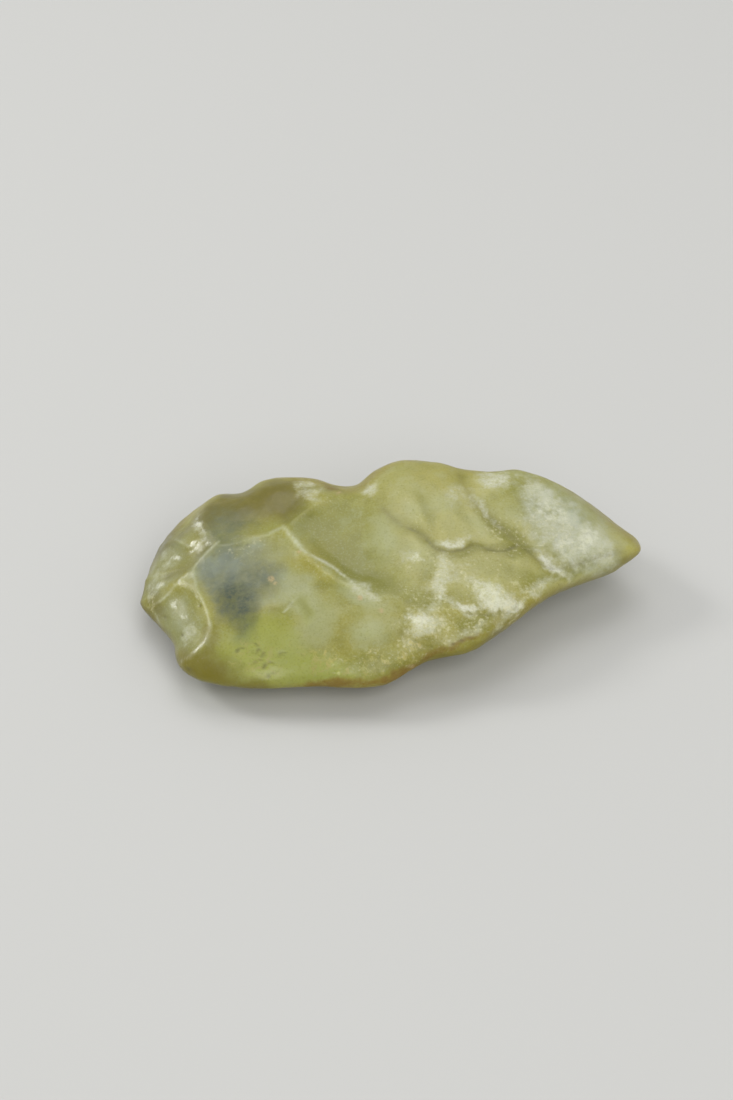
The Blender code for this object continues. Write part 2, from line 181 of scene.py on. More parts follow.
# Soft patches of each kind of surface on the upper side. Each has its middle on the slope, its turn in
# degrees, half its length, half its width and its strength. White lies on frost, smoke on haze.
PATCHES = {
    # The olive patches that lie along the creases are painted shade; the rest are the olive of the glass.
    "olive": (
        (-25.4, 2.6, 40, 3.8, 2.6, 0.8), (-25.0, -5.2, -70, 4.2, 3.0, 0.8),
        (-28.6, -1.0, 70, 3.0, 1.4, 0.7), (-5.6, 2.4, -38, 5.4, 2.9, 0.9),
        (-9.8, 6.2, -45, 3.8, 2.0, 0.7), (-1.6, -0.9, -10, 4.2, 1.2, 0.9),
        (-3.6, 0.4, -30, 3.4, 1.4, 0.8), (-6.0, 7.4, -20, 3.0, 1.6, 0.4), (4.6, 0.6, 70, 2.4, 1.0, 0.4),
        (13.6, 5.0, -45, 4.6, 1.3, 0.9), (15.2, 3.0, 10, 2.2, 1.0, 0.8), (17.0, 8.4, -78, 3.6, 1.4, 0.7),
        (4.4, 4.4, -40, 2.6, 0.8, 0.6), (9.8, 2.9, 8, 4.2, 0.8, 0.8), (4.4, -2.8, -10, 3.4, 1.1, 0.7),
        (1.6, -5.2, 75, 2.6, 0.8, 0.6), (-9.4, -9.2, 20, 3.6, 1.8, 0.5), (9.6, -5.4, 15, 2.6, 1.0, 0.7),
        (15.6, -0.4, -30, 3.2, 1.2, 0.5), (11.2, 1.4, -10, 4.0, 1.4, 0.4), (20.4, 0.2, 20, 5.0, 1.0, 0.6),
        (4.6, 7.6, -68, 2.6, 0.7, 0.4), (8.6, 7.2, -66, 2.6, 0.7, 0.4),
    ),
    "milk": (
        (-0.9, 4.6, 95, 3.3, 1.9, 1.0), (-9.8, -3.6, -62, 5.4, 2.2, 0.9),
        (-3.4, -2.4, -25, 3.6, 1.0, 1.0), (-2.4, -6.6, 10, 2.8, 1.8, 1.0),
        (-12.6, 3.2, 20, 3.4, 1.6, 0.4), (-10.2, -7.0, 50, 3.6, 2.0, 0.8),
        (-7.4, -5.6, 70, 3.0, 1.4, 0.6), (3.4, 2.6, 0, 3.0, 2.0, 0.6), (-24.6, -5.8, -60, 3.4, 2.2, 0.2),
        (2.8, 7.8, 0, 1.6, 1.2, 0.6), (-21.6, 1.6, 60, 2.0, 1.2, 0.5), (6.4, 8.8, 20, 1.8, 1.3, 0.6),
        (10.4, 5.9, -40, 1.8, 1.0, 0.6), (15.0, 7.2, -60, 1.8, 1.0, 0.4),
    ),
    "cream": (
        (2.0, 8.0, 0, 2.4, 1.8, 0.9), (2.9, 4.0, 0, 1.8, 1.2, 0.9), (2.6, 1.9, 0, 1.8, 1.2, 0.9),
        (7.5, 8.5, 20, 3.0, 2.2, 0.8), (11.6, 4.6, -40, 2.6, 1.2, 0.8), (11.4, 10.6, 0, 2.6, 1.6, 0.9),
        (13.0, 1.2, -10, 4.0, 2.0, 0.8), (26.4, 4.4, -40, 4.0, 2.0, 0.8), (21.8, -0.8, 24, 5.0, 0.9, 0.8),
        (6.0, 4.4, -20, 9.0, 5.0, 0.6), (8.4, 0.0, -10, 9.0, 4.0, 0.7), (2.0, 11.4, 5, 7.0, 2.6, 0.5),
        (14.0, 4.0, -20, 8.0, 5.0, 0.6), (1.6, -4.6, 0, 7.0, 4.0, 0.5), (10.8, 6.4, -30, 3.0, 2.0, 1.0),
    ),
    "brown": (
        (-16.6, 8.8, 10, 6.0, 2.6, 0.9), (-13.2, 9.0, 0, 3.4, 2.4, 1.0), (-21.4, 7.8, 42, 4.2, 1.3, 0.8),
        (-27.9, -3.6, -60, 2.4, 1.2, 0.7), (-7.2, 10.4, -5, 1.4, 0.7, 0.6),
        (-25.6, 4.2, 50, 2.6, 0.8, 0.5),
    ),
    "smoke": (
        (-18.4, -3.2, -50, 3.4, 2.4, 1.00), (-17.4, -5.8, -70, 2.4, 1.6, 0.40),
        (-15.6, -0.8, 20, 3.6, 2.0, 0.60), (-18.8, 0.6, 20, 4.6, 3.0, 0.48),
        (-19.4, 6.0, 10, 3.8, 2.2, 0.60), (-20.4, 3.6, 0, 2.6, 1.8, 0.35),
        (-22.0, 0.6, -70, 2.2, 1.2, 0.35),
    ),
    "haze": (
        (-26.8, 2.6, 45, 3.4, 1.6, 0.4), (-25.4, -5.4, -66, 3.4, 2.0, 0.3),
        (-27.6, -1.0, 40, 2.4, 1.0, 0.3), (-18.8, 1.2, 15, 5.4, 3.0, 1.0),
        (-14.6, -1.6, 0, 4.6, 2.8, 0.6), (-19.6, 6.0, 20, 3.0, 1.4, 0.3), (21.6, 5.4, -35, 6.0, 4.2, 1.0),
        (24.6, 2.6, -30, 3.4, 2.4, 0.9), (19.0, 9.0, -25, 3.6, 2.0, 0.8),
    ),
    "clear": (
        (-15.0, -9.4, 5, 5.4, 3.0, 1.0), (-10.8, -11.2, 0, 5.0, 2.4, 1.0),
        (-14.0, -6.8, 0, 3.0, 2.0, 0.6), (-6.4, -11.6, 0, 3.4, 1.4, 0.7),
        (-10.1, -4.2, -62, 1.7, 0.9, 0.5), (-15.4, -6.0, 20, 3.6, 1.8, 0.6),
    ),
    "honey": (
        (-21.6, -11.2, -14, 4.8, 2.6, 1.0), (-24.0, -10.8, -50, 2.8, 1.8, 1.0),
        (-16.4, -13.0, 0, 4.4, 1.2, 0.8), (-10.1, -4.0, -62, 1.5, 0.8, 0.35),
        (-21.0, -7.6, 80, 2.6, 1.2, 0.6), (5.0, -10.0, 14, 4.4, 1.0, 0.65),
        (12.0, -6.9, 38, 4.4, 0.8, 0.7), (-30.9, -1.6, 85, 4.4, 1.1, 1.0),
        (-29.2, 3.4, 52, 3.4, 0.9, 0.9), (20.4, -2.1, 26, 5.0, 0.8, 0.3), (27.6, 1.2, 24, 3.4, 0.9, 0.6),
    ),
    # The small frost patches on the chips of the blunt end are partly painted glints.
    "frost": (
        (24.4, 5.2, -40, 2.4, 1.5, 0.6), (19.4, 6.8, -25, 4.6, 3.8, 0.52),
        (22.4, 3.6, -35, 5.0, 2.6, 0.70), (18.2, 10.0, -25, 3.2, 1.8, 0.7),
        (25.8, 3.0, -50, 2.4, 1.6, 0.6), (19.2, 1.5, -33, 3.4, 0.8, 0.8), (12.8, 11.4, 0, 2.4, 1.4, 0.9),
        (7.6, 4.0, 5, 2.6, 0.8, 0.8), (8.4, 0.6, -10, 3.0, 1.6, 0.35), (6.0, -0.6, 75, 3.4, 1.4, 0.75),
        (8.2, -3.6, -20, 2.0, 0.7, 0.7), (3.4, -5.6, 50, 2.8, 2.0, 0.8), (12.0, -2.5, -18, 3.2, 1.9, 0.9),
        (-9.8, 10.2, -30, 2.0, 1.3, 0.7), (-2.2, 10.4, 50, 1.3, 0.9, 0.6), (2.0, 2.2, 0, 1.5, 0.9, 0.6),
        (18.2, -1.3, 30, 3.8, 0.9, 0.55), (8.8, -6.6, 30, 3.6, 1.0, 0.42),
        (13.6, -5.0, 38, 2.8, 0.9, 0.5), (-27.0, 1.6, 60, 2.0, 1.2, 0.4),
        (-23.9, -6.9, 60, 1.6, 1.2, 0.5), (-23.0, 5.6, -60, 1.5, 0.9, 0.6),
        (8.2, 9.4, -20, 2.4, 1.2, 0.4), (11.6, 7.8, -52, 3.4, 0.4, 0.5), (-28.2, -1.2, 60, 1.8, 0.9, 0.5),
        (-3.0, -1.9, -22, 2.6, 0.8, 0.6),
    ),
    # White crust, and on the chips of the blunt end small painted glints.
    "white": (
        (9.2, -3.5, -10, 1.9, 0.5, 0.75), (-25.9, 2.2, 0, 0.6, 0.5, 0.6),
        (-27.6, -1.2, 40, 1.5, 0.7, 0.3), (-24.9, -0.3, 30, 1.2, 0.5, 0.35),
        (12.8, 11.4, 0, 1.4, 0.8, 0.5), (2.7, 2.0, 0, 0.8, 0.6, 0.6), (11.3, -2.3, -20, 2.2, 1.4, 0.45),
        (13.3, -3.5, -5, 2.4, 1.0, 0.9), (20.8, 3.4, 60, 1.7, 1.1, 0.35), (23.8, 4.4, 70, 2.0, 1.2, 0.6),
        (6.4, -2.2, 60, 1.3, 0.8, 0.4), (3.2, -5.0, 20, 1.8, 1.3, 0.55), (7.2, 3.9, 6, 2.2, 0.5, 0.7),
        (19.6, 7.6, -30, 2.6, 1.6, 0.4), (-22.9, 5.9, -60, 0.9, 0.5, 0.6),
        (19.0, 1.4, -33, 2.6, 0.4, 0.6), (15.4, -1.8, 30, 1.5, 0.6, 0.3),
    ),
    "stain": (
        (-7.8, -12.9, 10, 3.6, 0.9, 0.9), (-3.0, -12.4, 5, 4.4, 0.6, 0.6),
        (1.4, -11.4, 22, 3.2, 0.7, 0.7), (5.2, -9.0, 30, 2.8, 0.5, 0.6), (8.4, -7.7, 28, 2.4, 0.5, 0.6),
        (-7.4, 10.6, -10, 1.6, 0.6, 0.4), (11.8, -5.9, 34, 3.0, 0.4, 0.25),
    ),
    "specks": (
        (8.0, -1.0, 20, 8.0, 5.0, 0.7), (4.0, -6.6, 10, 6.0, 3.0, 0.9), (-2.0, -10.2, 5, 6.6, 1.8, 0.8),
        (14.0, -3.4, 25, 5.0, 3.0, 0.9), (12.4, 5.4, -45, 5.0, 1.6, 0.7), (19.0, 5.0, -30, 6.0, 4.0, 0.6),
        (2.2, 2.0, 10, 3.0, 1.6, 0.7), (3.0, 7.6, -30, 4.6, 2.0, 0.5), (-17.2, 3.4, 10, 4.0, 1.6, 0.6),
        (-24.0, -9.0, 0, 2.6, 1.4, 0.4), (-28.6, -3.2, -60, 2.4, 0.7, 0.9), (-5.8, 9.0, 0, 3.4, 1.0, 0.5),
        (-10.0, 0.6, 0, 5.0, 3.0, 0.4), (9.4, -5.8, 30, 4.6, 1.2, 1.0), (16.0, -2.6, 34, 4.0, 1.0, 0.8),
    ),
    "crinkle": (
        (-6.4, -10.8, 0, 5.0, 1.2, 0.8), (1.0, -9.4, 20, 5.0, 1.6, 0.8), (-1.8, -10.2, 8, 5.0, 1.5, 1.0),
        (-7.6, -9.2, 0, 3.4, 1.4, 0.7), (4.0, -8.2, 25, 3.4, 1.4, 0.8), (-14.4, -9.8, 0, 4.6, 2.4, 0.8),
    ),
    "gloss": (
        (-25.6, -6.0, -60, 4.6, 3.2, 1.0), (-26.6, 1.4, 50, 4.0, 3.0, 1.0),
        (-23.4, 5.2, 40, 3.4, 2.2, 1.0), (-6.0, 2.6, -31, 8.0, 3.4, 0.5), (-14.0, 8.9, 10, 7.4, 3.0, 0.4),
        (-17.0, -9.6, 0, 9.0, 4.0, 0.5), (17.0, -4.0, 32, 8.0, 1.6, 0.5), (27.4, 1.8, 20, 3.6, 2.0, 0.5),
    ),
}
# A patch ends at PATCH_REACH times its size, and PATCH_SOFTNESS is how much of that it fades over.
PATCH_REACH, PATCH_SOFTNESS = 1.4, 0.8
# Patches are pushed about, so that none keeps its even outline: the distance between swells and the
# push of each noise, and where the noise starts for the push to the right and up the slope.
WANDERS = ((2.6, 0.8), (0.9, 0.35))
WANDER_STARTS = (3.1, 17.7)

# Pale lines, raised a little: the strength, half the width and the line of each. They run along the
# arete, the edge of the chipped end, the ridges between its chips and the rim, and are partly worn frost
# and partly painted highlight. The last is a flake.
CRESTS = (
    (0.80, 0.30, ARETE[1:6]),
    (0.45, 0.70, ARETE[5:7]),
    (0.50, 0.50, ARETE[:3]),
    (0.45, 0.40, ((-12.8, 5.8), (-15.4, 4.6), (-17.4, 4.1))),
    (0.30, 0.22, ((-17.4, 4.1), (-19.4, 3.6), (-21.1, 3.6))),
    (0.34, 0.30, END_RIDGE),
    (0.30, 0.30, CHIP_RIDGES[0]),
    (0.32, 0.30, CHIP_RIDGES[1]),
    (0.30, 0.30, ((-27.5, 3.9), (-28.5, 1.4), (-29.0, -0.8), (-29.1, -2.4), (-28.4, -4.2), (-27.2, -6.2))),
    (0.50, 0.22, ((-10.9, -2.6), (-11.6, -3.3), (-12.5, -4.3))),
)
# Narrow lines of painted shade, sunk a little, down creases: the strength, half the width and the line of
# each.
CLEFTS = (
    (0.6, 0.34, ((-0.7, 8.0), (0.7, 6.5), (2.3, 5.6))),
    (0.9, 0.32, ((2.3, 5.6), (4.0, 4.8), (5.4, 3.1), (7.2, 2.9), (8.4, 3.1), (10.2, 3.5), (12.0, 3.1),
                 (13.4, 2.9), (15.0, 3.5))),
    (0.5, 0.70, ((-26.8, -0.2), (-24.5, 0.9), (-22.8, 2.5), (-21.9, 3.4))),
    (0.5, 0.34, ((8.4, 12.1), (10.0, 9.1), (11.2, 7.8), (12.4, 6.8))),
    (0.5, 0.40, ((12.2, 6.7), (15.5, 3.6))),
    (0.6, 0.30, ((15.5, 3.6), (18.3, 1.2), (20.1, 0.7))),
    (0.6, 0.24, ((9.2, -4.4), (10.8, -4.6), (13.2, -4.7), (14.8, -3.7))),
    (0.4, 0.36, ((20.1, 0.7), (24.0, 1.8), (27.6, 2.6))),
)
CREST_HEIGHT, CLEFT_DEPTH = 0.035, 0.07
# Crests and clefts come and go with a noise: the distance between its swells, where it starts, and the
# values at which a line is gone and whole.
BREAK_SIZE, BREAK_START, BREAK_SPAN = 1.6, 9.1, (-0.9, 0.3)
# How much of the patches' push each kind of line gets, and the wide painted shade on either side of a cleft.
CREST_WANDER, CLEFT_WANDER, SHADE_WANDER = 0.12, 0.25, 0.4
SHADE_STRENGTH, SHADE_HALF_WIDTH = 0.8, 1.6

# Small round pits: the place on the slope, the radius and the depth.
PITS = (
    (-24.6, -7.1, 0.30, 0.10), (-23.6, -11.0, 0.35, 0.10), (-18.0, 4.6, 0.26, 0.08),
    (-17.0, 3.6, 0.26, 0.08), (-22.5, -3.6, 0.26, 0.08), (-20.0, -8.2, 0.28, 0.08),
    (8.2, -7.6, 0.28, 0.10), (9.1, -7.2, 0.24, 0.10), (7.4, -8.0, 0.28, 0.10),
    (10.0, -6.8, 0.24, 0.10), (-21.0, 2.4, 0.25, 0.08), (-15.6, 0.6, 0.22, 0.06), (-26.9, -5.0, 0.30, 0.08),
)
# Rust spots: the place on the slope and the radius.
RUST_SPOTS = (
    (-14.1, -0.4, 0.50), (-3.6, -2.6, 0.42), (-1.1, -4.1, 0.38), (-10.9, 2.8, 0.30), (-6.2, 9.9, 0.35),
    (2.4, -10.6, 0.35), (-13.6, -0.9, 0.25),
)
RUST_SOFTNESS = 0.6
# Crescent marks: the place on the slope, the turn in degrees, the radius and the depth.
CRESCENTS = (
    (-17.4, -9.0, 130, 0.55, 0.10), (-16.1, -8.6, 15, 0.70, 0.10), (-15.2, -10.3, 145, 0.55, 0.09),
    (-14.0, -10.8, 130, 0.75, 0.10), (-13.7, -11.8, 140, 0.50, 0.09), (-14.5, -9.4, 160, 0.50, 0.08),
    (-12.6, -9.4, 120, 0.45, 0.07),
)
CRESCENT_HALF_WIDTH = 0.18
CRESCENT_SPREAD = math.radians(85)
CRESCENT_FADE = 0.5
# A pit or crescent this deep has its full painted shade.
DEEP_MARK = 0.10

# Dimples all over, apart from the shiny scars: how many, and the least and most radius and depth.
DIMPLE_SEED, DIMPLE_COUNT = 11, 420
DIMPLE_RADIUS, DIMPLE_DEPTH = (0.35, 1.5), (0.02, 0.08)
# Shallow scars on the back and the underside: the middle, the radius and the depth.
REAR_SCARS = (
    (-20.0, 14.0, 6.0, 8.0, 0.45), (-9.0, 17.0, 7.5, 7.0, 0.40), (-2.0, 17.5, 4.0, 7.0, 0.40),
    (9.0, 17.0, 7.0, 8.0, 0.45), (20.0, 12.0, 6.5, 7.0, 0.40), (-28.0, 6.0, 5.0, 7.0, 0.40),
    (26.0, 6.0, 3.0, 6.0, 0.35), (16.0, 2.0, 1.5, 7.0, 0.35), (-20.0, -6.0, 1.0, 7.0, 0.35),
    (6.0, -10.0, 1.5, 7.0, 0.35), (-27.0, -4.0, 2.0, 5.0, 0.30), (14.0, 12.0, 2.0, 6.0, 0.35),
)

# Fine relief, as layers of noise: the distance between swells, their height and the patch they need.
GRAIN = (
    (3.2, 0.090, None), (1.3, 0.035, None), (0.70, 0.045, "frost"), (0.8, 0.060, "crinkle"),
    (1.2, 0.050, "white"), (0.6, 0.030, "specks"), (1.6, 0.025, "gloss"), (0.5, 0.010, "gloss"),
)
# Each layer's noise starts this much further on than the one before.
GRAIN_START = 5.3
# Fine relief grows from nothing at the ground to its whole at this height, so that the flat stays flat.
RELIEF_FADE = 0.6

# The upper side fades in from where the surface stands edge on to someone who looks down the slope.
UPPER_SPAN = (0.0, 0.3)
# The thin glass round the outline, whose yellower tint is partly a painted glow, and the darker rim round
# the blunt end: how far inside the outline each starts to fade and is gone. The rim starts and is whole
# so far to the left.
EDGE_SPAN, RIM_SPAN = (0.1, 1.4), (0.5, 1.5)
RIM_LEFT_SPAN = (24.0, 28.0)

# ---------------------------------------------------------------- shape


def smooth_max(a, b, width):
    """The larger of a and b, with the corner between them rounded over width."""
    near = np.clip(1 - np.abs(a - b) / width, 0, None)
    return np.maximum(a, b) + near * near * width / 4


def curve_through(corners, steps, closed):
    """Points on a smooth curve through the given ones, so many to each."""
    corners = np.array(corners)
    spans = len(corners) if closed else len(corners) - 1
    t = np.linspace(0, spans, spans * steps + 1)
    i = np.minimum(t.astype(int), spans - 1)
    t = (t - i)[:, None]
    if closed:
        p0, p1, p2, p3 = (corners[(i + k) % len(corners)] for k in (-1, 0, 1, 2))
    else:
        p0, p1, p2, p3 = (corners[np.clip(i + k, 0, len(corners) - 1)] for k in (-1, 0, 1, 2))
    return 0.5 * (2 * p1 + (p2 - p0) * t + (2 * p0 - 5 * p1 + 4 * p2 - p3) * t**2
                  + (3 * p1 - p0 - 3 * p2 + p3) * t**3)


def distance_to(curve, points):
    """Distance from each point to the curve, and whether a closed curve has it inside."""
    nearest = np.full(len(points), np.inf)
    inside = np.zeros(len(points), bool)
    for start, stop in zip(curve[:-1], curve[1:]):
        step = stop - start
        share = np.clip((points - start) @ step / (step @ step), 0, 1)
        nearest = np.minimum(nearest, np.hypot(*(points - start - share[:, None] * step).T))
        level = (start[1] > points[:, 1]) != (stop[1] > points[:, 1])
        if step[1]:
            crossing = start[0] + (points[:, 1] - start[1]) / step[1] * step[0]
            inside ^= level & (points[:, 0] < crossing)
    return nearest, inside


def axes_of(points, middle_x, middle_y, turn):
    """Each point's places along and across an axis turned by so many degrees about a middle."""
    turn = math.radians(turn)
    right, up = points[:, 0] - middle_x, points[:, 1] - middle_y
    return (right * math.cos(turn) + up * math.sin(turn),
            up * math.cos(turn) - right * math.sin(turn))


def scar_depth(points):
    """How deep the scars are, with soft lips, and a sharp edge wherever two of them meet."""
    depth = np.zeros(len(points))
    for x, y, turn, half_length, below, above, deepest in SCARS:
        along, across = axes_of(points, x, y, turn)
        half_width = np.where(across < 0, below, above)
        inner = np.clip(1 - (along / half_length)**2 - (across / half_width)**2, 0, 1)
        depth = np.maximum(depth, deepest * inner**2 * (3 - 2 * inner))
    return depth


def lump_height(points):
    """How far the low rounded lumps stand out."""
    height = np.zeros(len(points))
    for x, y, turn, half_length, half_width, tallest in LUMPS:
        along, across = axes_of(points, x, y, turn)
        inner = np.clip(1 - (along / half_length)**2 - (across / half_width)**2, 0, 1)
        height += tallest * inner**2
    return height


def line_height(points, lines):
    """How far the lines stand out, each with hollow sides that meet along it."""
    height = np.zeros(len(points))
    for tallest, half_width, corners in lines:
        gap, _ = distance_to(curve_through(corners, CURVE_STEPS, False), points)
        gap = np.hypot(gap, LINE_ROUNDING) - LINE_ROUNDING
        height = np.maximum(height, tallest * np.clip(1 - gap / half_width, 0, 1)**2)
    return height


def relief(points):
    """How far the upper surface stands above its plain dome, on the slope."""
    return (lump_height(points) + line_height(points, RIDGES)
            - scar_depth(points) - line_height(points, CREASES))


def outline_distance(points):
    """The distance outside the outline, below zero inside it."""
    nearest, inside = distance_to(OUTLINE_CURVE, points)
    return np.where(inside, -nearest, nearest)


class SlopeMap:
    """A function on the slope, kept on a fine grid so that it is quick to look up."""

    def __init__(self, function):
        self.corner = OUTLINE_CURVE.min(0) - GRID_MARGIN
        count = np.ceil((OUTLINE_CURVE.max(0) + GRID_MARGIN - self.corner) / GRID_STEP).astype(int) + 1
        grid = np.stack(np.meshgrid(*(np.arange(n) for n in count), indexing="ij"), -1)
        self.values = function(grid.reshape(-1, 2) * GRID_STEP + self.corner).reshape(count)

    def at(self, x, y):
        last = np.array(self.values.shape) - 2
        place = (np.stack((x, y), -1) - self.corner) / GRID_STEP
        cell = np.clip(place.astype(int), 0, last)
        (u, v), (i, j) = (place - cell).T, cell.T
        low = self.values[i, j] * (1 - u) + self.values[i + 1, j] * u
        high = self.values[i, j + 1] * (1 - u) + self.values[i + 1, j + 1] * u
        return low * (1 - v) + high * v


OUTLINE_CURVE = curve_through(OUTLINE, CURVE_STEPS, True)
OUTLINE_MAP = SlopeMap(outline_distance)
RELIEF_MAP = SlopeMap(relief)


def swell_waves():
    """The direction and closeness of each wave, and where it starts."""
    seeded = np.random.default_rng(SEED)
    direction = seeded.normal(size=(3, WAVE_COUNT))
    length = seeded.uniform(SHORTEST_WAVE, LONGEST_WAVE, WAVE_COUNT)
    start = seeded.uniform(0, 2 * math.pi, WAVE_COUNT)
    return direction / np.linalg.norm(direction, axis=0) * 2 * math.pi / length, start


WAVES, WAVE_STARTS = swell_waves()


def swell(points):
    """How far the faint swells stand out."""
    return SWELL_HEIGHT * math.sqrt(2 / WAVE_COUNT) * np.sin(points @ WAVES + WAVE_STARTS).sum(axis=1)


def top_height(x, y):
    """The height of the plain dome of the upper side."""
    end = np.clip(END_START - x, 0, None)
    front = np.clip(FRONT_START - y, 0, None)
    return (TOP_MIDDLE + TOP_LEAN[0] * x + TOP_LEAN[1] * y - TOP_BEND[0] * x**2 - TOP_BEND[1] * y**2
            - END_BEND * end**2 - FRONT_BEND * front**2)


def under_height(x, y):
    """The height of the bowl of the underside, before the ground flattens it."""
    right, back = x - UNDER_PLACE[0], y - UNDER_PLACE[1]
    return UNDER_BEND[0] * right**2 + UNDER_BEND[1] * back**2 - UNDER_DROP


def field(points):
    """Roughly the distance outside the stone, below zero inside it."""
    x, y, z = points.T
    up = y * math.sin(OUTLINE_SLOPE) + (z - MIDDLE_HEIGHT) * math.cos(OUTLINE_SLOPE)
    edge = OUTLINE_MAP.at(x, up)
    body = smooth_max(z - top_height(x, y) - RELIEF_MAP.at(x, up), edge, TOP_ROUNDING)
    body = smooth_max(body, y - BACK_LEAN * (z - SPINE_HEIGHT) - BACK_PLACE, BACK_ROUNDING)
    body = smooth_max(body, under_height(x, y) - z, UNDER_ROUNDING)
    for middle, radius in HOLLOWS:
        inside = radius - np.linalg.norm(points - middle, axis=1)
        body = smooth_max(body, inside, HOLLOW_ROUNDING)
    return np.maximum(body - swell(points), -z)


def stone_points(directions):
    """Where a ray in each direction from the spine meets the surface."""
    spine = np.zeros_like(directions)
    spine[:, 0] = SPINE_HALF * directions[:, 0]
    spine[:, 2] = SPINE_HEIGHT
    rays = directions * (1, 1, FLATTENING)
    low = np.full(len(rays), RAY_START)
    high = np.full(len(rays), RAY_END)
    for _ in range(RAY_HALVINGS):
        middle = (low + high) / 2
        outside = field(spine + rays * middle[:, None]) > 0
        high = np.where(outside, middle, high)
        low = np.where(outside, low, middle)
    points = spine + rays * low[:, None]
    points[:, 2] = np.where(points[:, 2] < FLAT_WITHIN, 0, points[:, 2])
    return points


def ball_directions(shape):
    """Makes the shape a cube of equal squares, and gives the direction from its middle to each corner."""
    bmesh.ops.create_cube(shape, size=2.0)
    bmesh.ops.subdivide_edges(shape, edges=shape.edges[:], cuts=FACES_ALONG_SIDE - 1, use_grid_fill=True)
    corners = np.tan(np.array([v.co[:] for v in shape.verts]) * math.pi / 4)
    return corners / np.linalg.norm(corners, axis=1)[:, None]


# ---------------------------------------------------------------- fine relief and masks


def smooth_step(value, low, high):
    """From 0 where the value is low to 1 where it is high, with soft ends."""
    t = np.clip((value - low) / (high - low), 0, 1)
    return t * t * (3 - 2 * t)


def noise_at(points, scale, start):
    """Smooth noise between about -1 and 1, with swells so far apart."""
    spots = points / scale + start
    return np.array([noise.noise(spot) for spot in spots.tolist()])


def slope_places(points):
    """Each point's place on the slope."""
    up = points[:, 1] * math.sin(OUTLINE_SLOPE) + (points[:, 2] - MIDDLE_HEIGHT) * math.cos(OUTLINE_SLOPE)
    return np.stack((points[:, 0], up), -1)


def patch_strength(places, patches):
    """How far the patches cover each place. Each ends softly, a little beyond its size."""
    strength = np.zeros(len(places))
    for x, y, turn, half_length, half_width, most in patches:
        along, across = axes_of(places, x, y, turn)
        reach = np.sqrt((along / half_length)**2 + (across / half_width)**2)
        strength += (1 - strength) * most * smooth_step(1 - reach / PATCH_REACH, 0, PATCH_SOFTNESS)
    return strength


def line_strength(places, lines):
    """The strongest of the lines at each place, each falling to nothing at its half width."""
    strength = np.zeros(len(places))
    for most, half_width, corners in lines:
        gap, _ = distance_to(curve_through(corners, CURVE_STEPS, False), places)
        strength = np.maximum(strength, most * smooth_step(1 - gap / half_width, 0, 1))
    return strength


def pit_depth(places):
    """How deep the round pits are."""
    depth = np.zeros(len(places))
    for x, y, radius, deepest in PITS:
        reach = np.hypot(places[:, 0] - x, places[:, 1] - y) / radius
        depth = np.maximum(depth, deepest * smooth_step(1 - reach, 0, 1))
    return depth


def rust_strength(places):
    """How far the rust spots cover each place. Each is whole in its middle and soft outside that."""
    strength = np.zeros(len(places))
    for x, y, radius in RUST_SPOTS:
        reach = np.hypot(places[:, 0] - x, places[:, 1] - y) / radius
        strength = np.maximum(strength, smooth_step(1 - reach, 0, RUST_SOFTNESS))
    return strength


def crescent_depth(places):
    """How deep the crescent marks are. Each is part of a ring, and fades towards its two ends."""
    depth = np.zeros(len(places))
    for x, y, turn, radius, deepest in CRESCENTS:
        along, across = axes_of(places, x, y, turn)
        gap = np.abs(np.hypot(along, across) - radius) / CRESCENT_HALF_WIDTH
        swing = np.abs(np.arctan2(across, along)) / CRESCENT_SPREAD
        fade = smooth_step(1 - swing, 0, CRESCENT_FADE)
        depth = np.maximum(depth, deepest * smooth_step(1 - gap, 0, 1) * fade)
    return depth


def dimple_depth(points):
    """Small round dimples at random places."""
    random = np.random.default_rng(DIMPLE_SEED)
    depth = np.zeros(len(points))
    for middle in points[random.integers(len(points), size=DIMPLE_COUNT)]:
        radius = random.uniform(*DIMPLE_RADIUS)
        deepest = random.uniform(*DIMPLE_DEPTH)
        close = np.flatnonzero(np.abs(points - middle).max(1) < radius)
        reach = np.linalg.norm(points[close] - middle, axis=1) / radius
        depth[close] = np.maximum(depth[close], deepest * smooth_step(1 - reach, 0, 1))
    return depth


def hollow_depth(points):
    """Shallow scars on the back and the underside, with a sharp edge wherever two of them meet."""
    depth = np.zeros(len(points))
    for *middle, radius, deepest in REAR_SCARS:
        reach = np.linalg.norm(points - middle, axis=1) / radius
        depth = np.maximum(depth, deepest * (1 - reach**2))
    return depth


def pushes(points):
    """How far each point's patches are pushed to the right and up the slope."""
    return np.stack([sum(push * noise_at(points, scale, start) for scale, push in WANDERS)
                     for start in WANDER_STARTS], -1)


def rim_strength(points, depth):
    """How far the darker rim of the blunt end covers each point, so far inside the outline."""
    return (1 - smooth_step(depth, *RIM_SPAN)) * smooth_step(-points[:, 0], *RIM_LEFT_SPAN)


